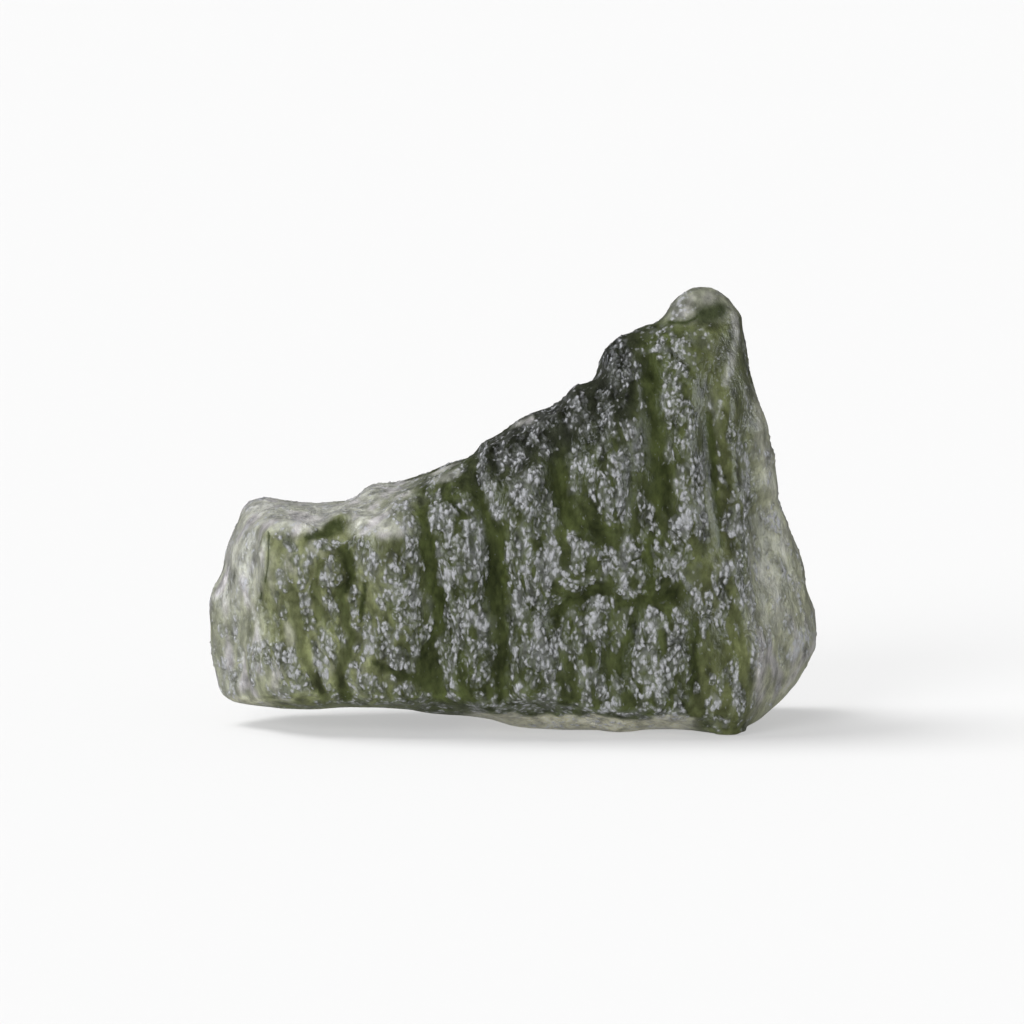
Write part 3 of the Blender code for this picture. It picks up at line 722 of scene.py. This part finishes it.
def thin_out(piece):
    """Fewer triangles where the skin is plain: first beside and behind the front, and then all over."""
    for most, kept in ((FIRST_TRIANGLES, "front"), (MOST_TRIANGLES, "")):
        triangles = sum(len(face.vertices) - 2 for face in piece.data.polygons)
        decimate = piece.modifiers.new("decimate", "DECIMATE")
        decimate.ratio = min(1.0, most / triangles)
        decimate.use_collapse_triangulate = True
        decimate.vertex_group = kept
        decimate.invert_vertex_group = True
        applied(piece)
    piece.data.shade_smooth()


class Nodes:
    """A short way to write a node tree."""

    def __init__(self, tree):
        self.tree = tree
        tree.nodes.clear()

    def set(self, node, key, value):
        """Links an input of the node to a socket, or gives it a value."""
        if isinstance(value, bpy.types.NodeSocket):
            self.tree.links.new(value, node.inputs[key])
        else:
            node.inputs[key].default_value = value

    def add(self, kind, inputs=None, **settings):
        node = self.tree.nodes.new("ShaderNode" + kind)
        for key, value in settings.items():
            setattr(node, key, value)
        for key, value in (inputs or {}).items():
            self.set(node, key, value)
        return node

    def attribute(self, name, output="Fac"):
        return self.add("Attribute", attribute_name=name).outputs[output]

    def maths(self, operation, first, second, **settings):
        return self.add("Math", {0: first, 1: second}, operation=operation, **settings).outputs["Value"]

    def vector(self, operation, first, inputs):
        return self.add("VectorMath", {0: first, **inputs}, operation=operation).outputs["Vector"]

    def ranged(self, value, levels, **settings):
        """Maps a range of values, the first two levels, to another, the last two."""
        names = ("From Min", "From Max", "To Min", "To Max")
        inputs = {"Value": value, **dict(zip(names, levels))}
        return self.add("MapRange", inputs, **settings).outputs["Result"]

    def mix(self, share, base, other):
        """Blends two colours, each a socket or four numbers."""
        node = self.add("Mix", {"Factor": share}, data_type="RGBA")
        self.set(node, 6, base)
        self.set(node, 7, other)
        return node.outputs[2]

    def mix_values(self, share, base, other):
        return self.add("Mix", {"Factor": share, "A": base, "B": other}).outputs[0]


def glass():
    """Green glass. Dots crowd into painted white glints where the skin is etched, and wrinkles darken and
    lighten what is between.
    """
    material = bpy.data.materials.new("moldavite_glass")
    material.use_nodes = True
    nodes = Nodes(material.node_tree)
    etched = nodes.attribute("etched")
    painted_glint = nodes.attribute("painted_glint")
    tint = nodes.attribute("tint", "Color")
    place = nodes.add("TexCoord").outputs["Object"]
    upright = nodes.add("Mapping", {"Vector": place, "Scale": DOT_SCALE}).outputs["Vector"]
    wobble = nodes.add("TexNoise", {"Vector": upright, **WOBBLE}).outputs["Color"]
    shift = nodes.vector("MULTIPLY", wobble, {1: WOBBLE_SHIFT})
    crooked = nodes.vector("ADD", upright, {1: shift})
    near = nodes.add("TexVoronoi", {"Vector": crooked, "Scale": 1.0}).outputs["Distance"]
    dot = nodes.ranged(near, DOT_REACH)
    peak = nodes.ranged(nodes.maths("ADD", dot, painted_glint), DOT_PEAK)
    glint_mix = nodes.maths("MAXIMUM", peak, nodes.ranged(painted_glint, GLINT_HAZE))
    wrinkle = nodes.add("TexNoise", {"Vector": upright, **WRINKLE}).outputs["Fac"]
    shaded = nodes.vector("SCALE", tint, {"Scale": nodes.ranged(wrinkle, WRINKLE_SHADE)})
    height = nodes.maths("ADD", wrinkle, nodes.maths("MULTIPLY", dot, etched))
    bump = nodes.add("Bump", {"Height": height, "Strength": 1.0, "Distance": DOT_HEIGHT})
    shader = nodes.add(
        "BsdfPrincipled",
        {
            # The base colour paints white glints on the dots, over the wrinkled tint.
            "Base Color": nodes.mix(glint_mix, shaded, (*FLECK_GLINT, 1.0)),
            "Roughness": GLASS_ROUGHNESS,
            "IOR": GLASS_IOR,
            "Transmission Weight": GLASS_SHARE,
            "Normal": bump.outputs["Normal"],
        },
    )
    absorb = nodes.add("VolumeAbsorption", {"Color": ABSORB_COLOR, "Density": ABSORB_DENSITY})
    nodes.add("OutputMaterial", {"Surface": shader.outputs["BSDF"], "Volume": absorb.outputs["Volume"]})
    return material


def skin():
    piece = fine_copy(frame["nodes"][NODE])
    roughen(piece)
    thin_out(piece)
    piece.data.materials.clear()
    piece.data.materials.append(glass())
    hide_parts(NODE)
    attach(piece, "root")


def floor():
    """A pale floor that also glows a little, so it stays near white."""
    mesh = bpy.data.meshes.new("floor")
    half = FLOOR_HALF
    corners = [(-half, -half, 0.0), (half, -half, 0.0), (half, half, 0.0), (-half, half, 0.0)]
    mesh.from_pydata(corners, [], [(0, 1, 2, 3)])
    material = bpy.data.materials.new("floor_white")
    material.use_nodes = True
    shader = material.node_tree.nodes["Principled BSDF"]
    shader.inputs["Base Color"].default_value = FLOOR_COLOR
    shader.inputs["Emission Color"].default_value = WHITE
    shader.inputs["Emission Strength"].default_value = FLOOR_GLOW
    shader.inputs["Roughness"].default_value = 1.0
    shader.inputs["Specular IOR Level"].default_value = 0.0
    mesh.materials.append(material)
    obj = add("floor", mesh)
    obj.visible_glossy = False
    return obj


def world():
    """White all round to the eye and through the stone. Reflections see it dark, as in a dim room."""
    sky = bpy.data.worlds.new("studio")
    bpy.context.scene.world = sky
    sky.use_nodes = True
    nodes = Nodes(sky.node_tree)
    rays = nodes.add("LightPath").outputs
    towards = nodes.add("TexCoord").outputs["Generated"]
    depth = nodes.add("SeparateXYZ", {"Vector": towards}).outputs["Y"]
    dim = nodes.ranged(depth, WORLD_MIRRORED, interpolation_type="SMOOTHSTEP")
    through = rays["Is Transmission Ray"]
    mirrored = nodes.maths("SUBTRACT", rays["Is Glossy Ray"], through, use_clamp=True)
    seen = nodes.maths("MAXIMUM", through, rays["Is Camera Ray"])
    bright = nodes.mix_values(seen, WORLD_LIGHT, WORLD_SEEN)
    strength = nodes.mix_values(mirrored, bright, dim)
    back = nodes.add("Background", {"Color": WHITE, "Strength": strength})
    nodes.add("OutputWorld", {"Surface": back.outputs["Background"]})


def suns(ground):
    """Soft suns, of which one lights the floor alone for a clear shadow."""
    for name, energy, place in SUNS:
        sun = bpy.data.lights.new(name, "SUN")
        sun.energy = energy
        sun.angle = SUN_ANGLE
        lamp = add(name, sun, place)
        aim(lamp, (0.0, 0.0, 0.0))
        lamp.visible_glossy = False
        lamp.visible_transmission = False
    lit = bpy.data.collections.new("lit_by_shadow_sun")
    lit.objects.link(ground)
    bpy.data.objects["shadow_sun"].light_linking.receiver_collection = lit


def softboxes():
    for name, around, rise, power in SOFTBOXES:
        box = bpy.data.lights.new(name, "AREA")
        box.shape = "SQUARE"
        box.size = SOFTBOX_SIZE
        box.energy = power
        box.color = SOFTBOX_COLOR
        turn, up = math.radians(around), math.radians(rise)
        towards = Vector((math.sin(turn) * math.cos(up), -math.cos(turn) * math.cos(up), math.sin(up)))
        lamp = add(name, box, towards * SOFTBOX_AWAY)
        aim(lamp, SOFTBOX_AIM)
        lamp.visible_diffuse = False


def camera():
    data = bpy.data.cameras.new("camera")
    data.sensor_width = SENSOR_WIDTH
    data.lens = SENSOR_WIDTH * CAMERA_AWAY / PICTURE_WIDTH
    data.clip_start = CLIP_START
    data.clip_end = CLIP_END
    away = Vector((0.0, -math.cos(CAMERA_RISE), math.sin(CAMERA_RISE))) * CAMERA_AWAY
    obj = add("camera", data, Vector(LOOK_AT) + away)
    aim(obj, LOOK_AT)
    bpy.context.scene.camera = obj


skin()
suns(floor())
softboxes()
world()
camera()
bpy.context.scene.view_settings.view_transform = "Standard"
